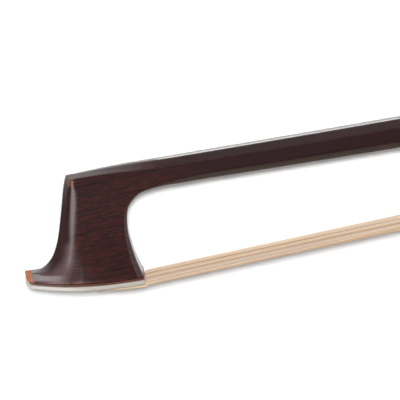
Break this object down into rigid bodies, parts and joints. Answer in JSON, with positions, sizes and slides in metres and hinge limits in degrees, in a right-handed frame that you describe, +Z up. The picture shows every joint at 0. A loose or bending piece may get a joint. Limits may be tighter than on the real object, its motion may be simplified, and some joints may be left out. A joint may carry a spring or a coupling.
{
  "type": "violin bow",
  "caption": "Octagonal wooden violin bow with a swept head, bone tip plate, flat ribbon of horsehair, sliding ebony frog and screw button.",
  "frame": {"origin": "under the middle of the bow as it lies on its side, on the plane it lies on", "axes": "+X along the hair from the head to the frog, +Y from the hair to the stick, +Z up from the surface the bow lies on"},
  "size_m": [0.7438, 0.029, 0.0124],
  "materials": {
    "dark_wood": "dark red-brown varnished heavy hardwood with fine streaks",
    "bone": "polished pale bone",
    "ebony": "polished black ebony",
    "pale_wood": "bare soft maple or lime",
    "horsehair": "unbleached pale horsehair",
    "thread": "waxed thread set with rosin",
    "silver": "polished silver alloy",
    "brass": "machined brass",
    "steel": "turned steel",
    "pearl": "iridescent mother-of-pearl",
    "leather": "smooth dark leather",
    "silk": "close-wound dark red silk"
  },
  "bodies": {
    "stick": {"stick": "dark_wood", "tip_plate": "bone", "tip_liner": "ebony", "tip_plug": "pale_wood", "tip_knot": "thread", "hair_ribbon": "horsehair", "thumb_leather": "leather", "silk_lapping": "silk", "tinsel_winding": "silver"},
    "frog": {"frog_block": "ebony", "frog_underslide": "silver", "underslide_pin_front": "silver", "underslide_pin_rear": "silver", "frog_eyelet": "brass", "ferrule": "silver", "spread_wedge": "pale_wood", "frog_hair_end": "horsehair", "frog_knot": "thread", "frog_plug": "pale_wood", "slide_backing": "ebony", "slide_pearl": "pearl", "heel_foot": "silver", "heel_upright": "silver", "heel_pin_foot": "silver", "heel_pin_low": "silver", "heel_pin_high": "silver", "eye_pearl_upper": "pearl", "eye_pearl_lower": "pearl", "eye_ring_upper": "silver", "eye_ring_lower": "silver"},
    "screw": {"adjusting_screw": "steel", "button_core": "ebony", "button_collar_front": "silver", "button_collar_rear": "silver", "button_pearl": "pearl"}
  },
  "joints": [
    {"name": "button_turn", "type": "hinge", "parent": "stick", "child": "screw", "pos_m": [0.3584, 0.00965, 0.0062], "axis": [-0.9992, -0.039, 0], "range_deg": [-720, 2160]},
    {"name": "frog_slide", "type": "slide", "parent": "stick", "child": "frog", "axis": [0.9992, 0.039, 0], "range_m": [-0.0014, 0.0042], "deforming": ["hair_ribbon"]}
  ],
  "couplings": [
    {"joint": "button_turn", "follows": "frog_slide", "rad_per_m": 8976}
  ]
}
